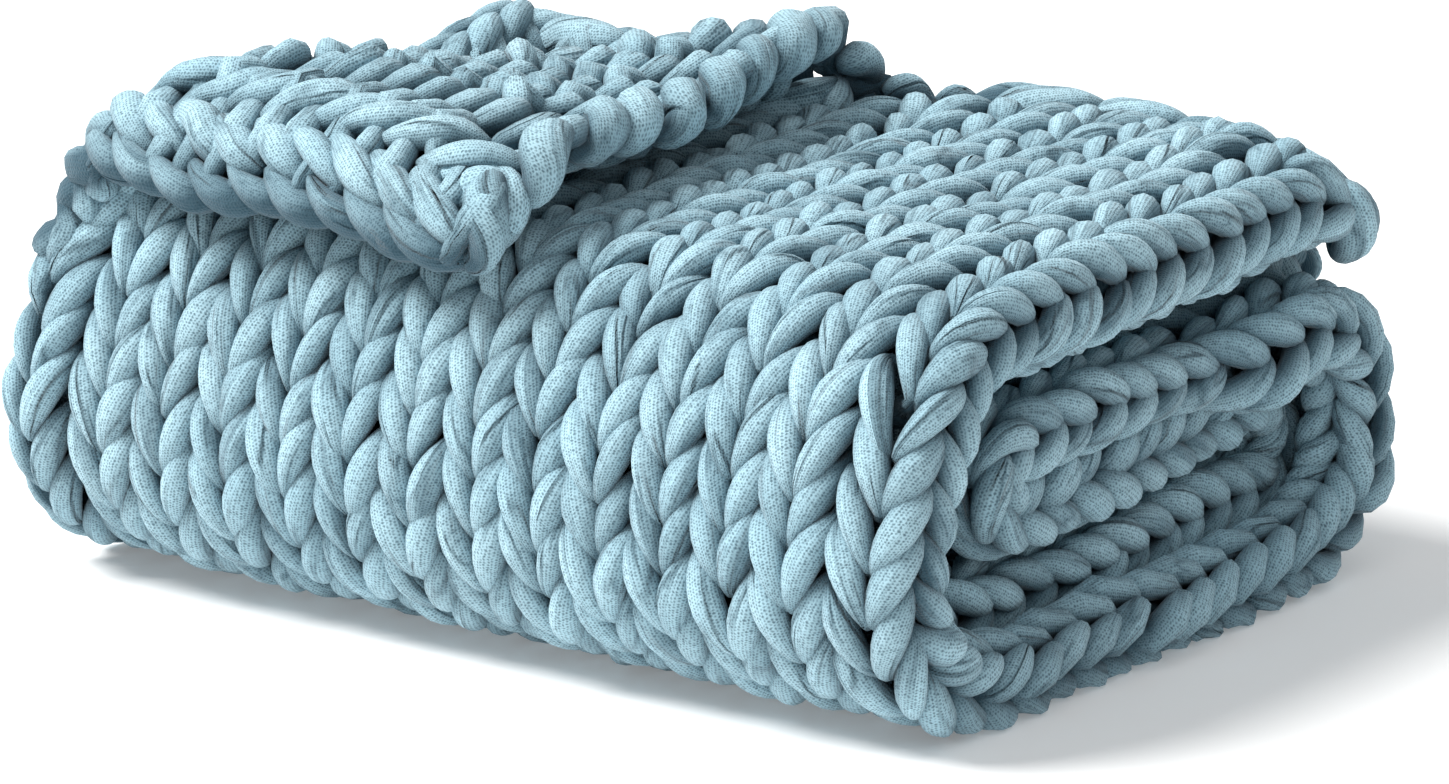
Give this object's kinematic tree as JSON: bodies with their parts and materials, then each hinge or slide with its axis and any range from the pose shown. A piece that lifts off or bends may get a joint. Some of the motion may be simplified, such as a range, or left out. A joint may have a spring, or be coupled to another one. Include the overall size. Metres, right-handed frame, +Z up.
{
  "type": "folded chunky knit blanket",
  "caption": "Chunky hand-knit weighted blanket of thick tube yarn, folded back and forth into a pack with one corner turned over.",
  "frame": {"origin": "middle of the folded pack's bounding box in X and Y, on the flat underside", "axes": "+X along the folded front edge, to the right as seen from the front; +Y from the front fold towards the back; +Z up"},
  "size_m": [0.66, 0.5112, 0.3111],
  "materials": {
    "blue_knit": "soft matte knit of light blue jersey tube yarn"
  },
  "bodies": {
    "root": {"blanket": "blue_knit"}
  },
  "joints": []
}
